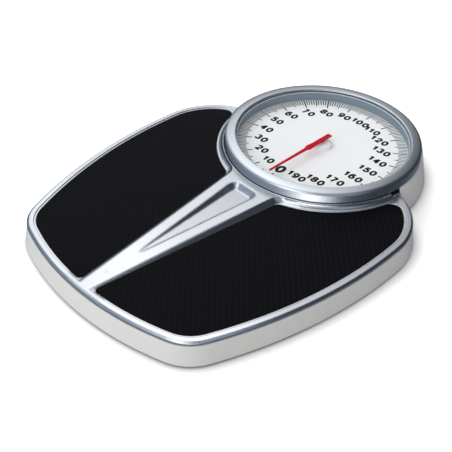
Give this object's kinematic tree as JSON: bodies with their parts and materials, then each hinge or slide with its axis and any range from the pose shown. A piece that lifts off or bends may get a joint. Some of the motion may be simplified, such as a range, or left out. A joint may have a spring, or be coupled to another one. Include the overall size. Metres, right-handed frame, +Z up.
{
  "type": "bathroom scale",
  "caption": "Mechanical bathroom scale with a large round dial, two rubber mats on a silver frame, and a lever, crank, rack and pinion movement in a cream housing.",
  "frame": {"origin": "middle of the scale's outline, on the surface that it stands on", "axes": "+Y from the user's end towards the dial, +X to the right, +Z up"},
  "size_m": [0.3188, 0.4314, 0.0423],
  "materials": {
    "cream_housing": "warm light grey moulding, low sheen",
    "galvanised_steel": "pressed sheet, zinc plated",
    "silver_frame": "silver lacquer on a smooth moulding",
    "silver_bezel": "silver lacquer, satin",
    "black_mat": "ribbed with small raised points",
    "dark_plastic": "fine grain",
    "dial_white": "printed sheet",
    "boss_white": "smooth",
    "clear_lens": "clear",
    "needle_red": "red",
    "brass": "turned",
    "polished_steel": "ground",
    "rack_steel": "stamped",
    "spring_steel": "drawn wire",
    "rubber_feet": "matt"
  },
  "bodies": {
    "base": {"housing": "cream_housing", "foot_near_left": "rubber_feet", "foot_near_right": "rubber_feet", "foot_far_left": "rubber_feet", "foot_far_right": "rubber_feet", "fulcrum_post_near_left": "galvanised_steel", "fulcrum_post_near_right": "galvanised_steel", "fulcrum_post_far_left": "galvanised_steel", "fulcrum_post_far_right": "galvanised_steel", "crank_bracket": "galvanised_steel", "crank_axle": "galvanised_steel", "dial_drum": "dark_plastic", "dial_face": "dial_white", "face_boss": "boss_white", "lens_spacer": "silver_bezel", "lens": "clear_lens", "bezel": "silver_bezel", "shaft_bush": "brass", "bridge_plate": "galvanised_steel", "bridge_standoffs": "galvanised_steel", "bridge_screws": "galvanised_steel", "rack_guide": "dark_plastic", "drum_screws": "galvanised_steel", "main_spring": "spring_steel", "spring_bracket": "galvanised_steel"},
    "platform": {"tread_plate": "galvanised_steel", "silver_frame": "silver_frame", "mat_left": "black_mat", "mat_right": "black_mat", "frame_screws": "galvanised_steel", "load_post_near_left": "galvanised_steel", "load_post_near_right": "galvanised_steel", "load_post_far_left": "galvanised_steel", "load_post_far_right": "galvanised_steel"},
    "long_lever_left": {"long_lever_left": "galvanised_steel", "long_lever_pins_left": "galvanised_steel"},
    "long_lever_right": {"long_lever_right": "galvanised_steel", "long_lever_pins_right": "galvanised_steel"},
    "short_lever_left": {"short_lever_left": "galvanised_steel", "short_lever_pins_left": "galvanised_steel"},
    "short_lever_right": {"short_lever_right": "galvanised_steel", "short_lever_pins_right": "galvanised_steel"},
    "nose_plate": {"nose_plate": "galvanised_steel"},
    "crank": {"crank": "galvanised_steel", "crank_pins": "galvanised_steel"},
    "rack": {"rack": "rack_steel"},
    "needle": {"needle": "needle_red", "needle_hub": "brass", "needle_shaft": "polished_steel", "pinion": "brass"},
    "zero_knob": {"zero_knob": "dark_plastic", "zero_screw": "polished_steel"},
    "zero_nut": {"zero_nut": "brass"}
  },
  "joints": [
    {"name": "platform_sink", "type": "slide", "parent": "base", "child": "platform", "axis": [0, 0, -1], "range_m": [0, 0.0003038]},
    {"name": "needle_turn", "type": "hinge", "parent": "base", "child": "needle", "pos_m": [0, 0.1058, 0.03], "axis": [0, 0, -1], "range_deg": [0, 356.42], "stiffness_Nm_per_rad": 0.0154, "springref_deg": -5.58},
    {"name": "long_lever_left_tilt", "type": "hinge", "parent": "base", "child": "long_lever_left", "pos_m": [-0.112, -0.158, 0.0145], "axis": [-1, 0, 0], "range_deg": [0, 1.09]},
    {"name": "short_lever_left_tilt", "type": "hinge", "parent": "base", "child": "short_lever_left", "pos_m": [-0.112, 0.062, 0.0145], "axis": [1, 0, 0], "range_deg": [0, 1.09]},
    {"name": "long_lever_right_tilt", "type": "hinge", "parent": "base", "child": "long_lever_right", "pos_m": [0.112, -0.158, 0.0145], "axis": [-1, 0, 0], "range_deg": [0, 1.09]},
    {"name": "short_lever_right_tilt", "type": "hinge", "parent": "base", "child": "short_lever_right", "pos_m": [0.112, 0.062, 0.0145], "axis": [1, 0, 0], "range_deg": [0, 1.09]},
    {"name": "nose_drop", "type": "slide", "parent": "base", "child": "nose_plate", "axis": [0, 0, -1], "range_m": [0, 0.006]},
    {"name": "crank_swing", "type": "hinge", "parent": "base", "child": "crank", "pos_m": [0, 0.17, 0.0102], "axis": [1, 0, 0], "range_deg": [0, 70.03], "deforming": ["main_spring"]},
    {"name": "rack_slide", "type": "slide", "parent": "base", "child": "rack", "axis": [0, -1, 0], "range_m": [0, 0.01556]},
    {"name": "zero_nut_slide", "type": "slide", "parent": "base", "child": "zero_nut", "axis": [0, 1, 0], "range_m": [-0.00035, 0.00035]},
    {"name": "zero_knob_turn", "type": "hinge", "parent": "base", "child": "zero_knob", "pos_m": [0, 0.21, 0.01675], "axis": [0, 1, 0], "range_deg": [-180.05, 180.05]}
  ],
  "couplings": [
    {"joint": "needle_turn", "follows": "platform_sink", "rad_per_m": 20475},
    {"joint": "long_lever_left_tilt", "follows": "platform_sink", "rad_per_m": 62.5},
    {"joint": "short_lever_left_tilt", "follows": "platform_sink", "rad_per_m": 62.5},
    {"joint": "long_lever_right_tilt", "follows": "platform_sink", "rad_per_m": 62.5},
    {"joint": "short_lever_right_tilt", "follows": "platform_sink", "rad_per_m": 62.5},
    {"joint": "nose_drop", "follows": "platform_sink", "ratio": 19.75},
    {"joint": "crank_swing", "follows": "platform_sink", "rad_per_m": 4021.5},
    {"joint": "rack_slide", "follows": "platform_sink", "ratio": 51.188},
    {"joint": "zero_knob_turn", "follows": "zero_nut_slide", "rad_per_m": 8976}
  ]
}
